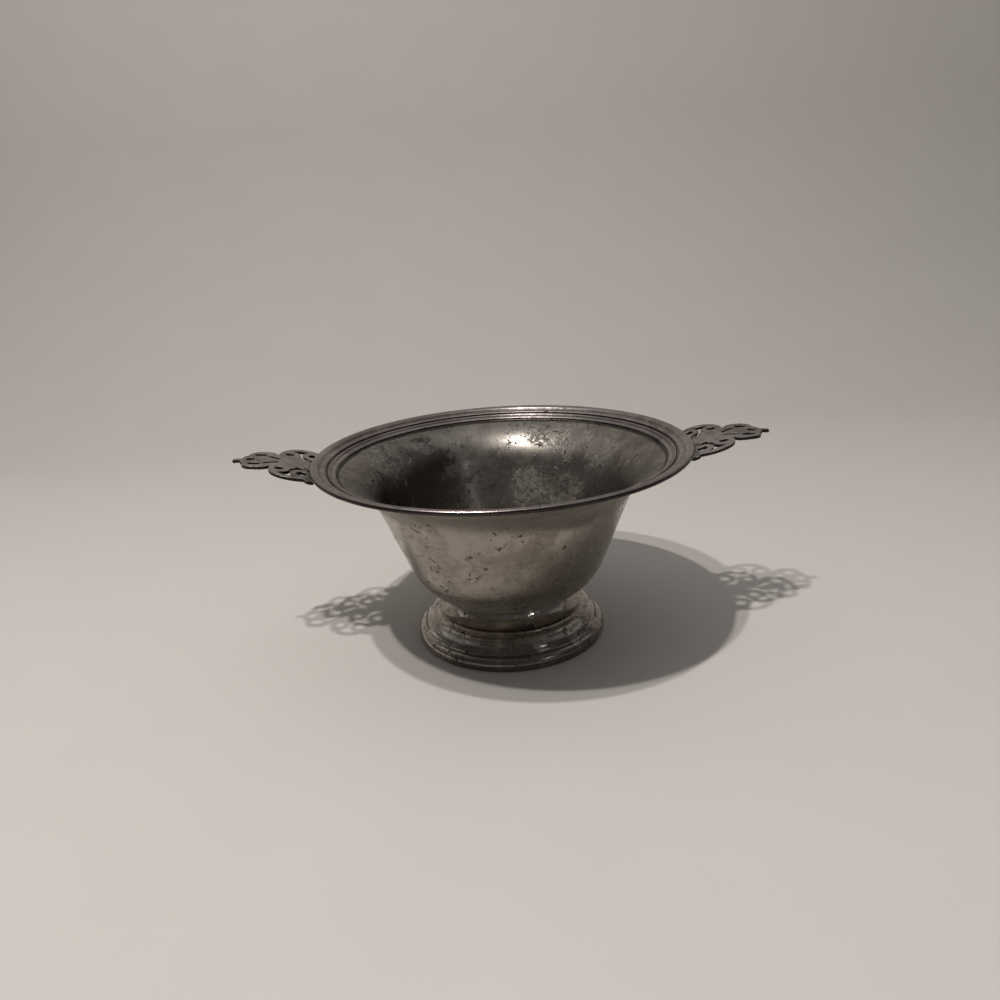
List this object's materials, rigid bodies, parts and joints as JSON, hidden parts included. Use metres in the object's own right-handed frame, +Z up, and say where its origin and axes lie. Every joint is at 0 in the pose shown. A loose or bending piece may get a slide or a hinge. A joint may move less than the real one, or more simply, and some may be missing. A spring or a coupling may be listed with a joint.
{
  "type": "pewter porringer",
  "caption": "Footed pewter bowl with a flared, reeded rim, a stepped round foot and flat pierced scroll handles on opposite sides; holds food or fruit.",
  "frame": {"origin": "centre of the foot's base ring, on the table", "axes": "+Z up along the bowl's axis, +X towards the right handle, +Y to the back as pictured"},
  "size_m": [0.2884, 0.2032, 0.1093],
  "materials": {
    "pewter": "spun pewter, dark with age, with blotched tarnish, pits and dirt in the grooves",
    "cast_pewter": "cast pewter, dull grey, dark in the piercings",
    "solder": "dull grey solder"
  },
  "bodies": {
    "root": {"foot": "pewter", "foot_solder": "solder", "bowl": "pewter", "right_handle": "cast_pewter", "right_root_solder": "solder", "right_front_heel_solder": "solder", "right_back_heel_solder": "solder", "left_handle": "cast_pewter", "left_root_solder": "solder", "left_front_heel_solder": "solder", "left_back_heel_solder": "solder"}
  },
  "joints": []
}
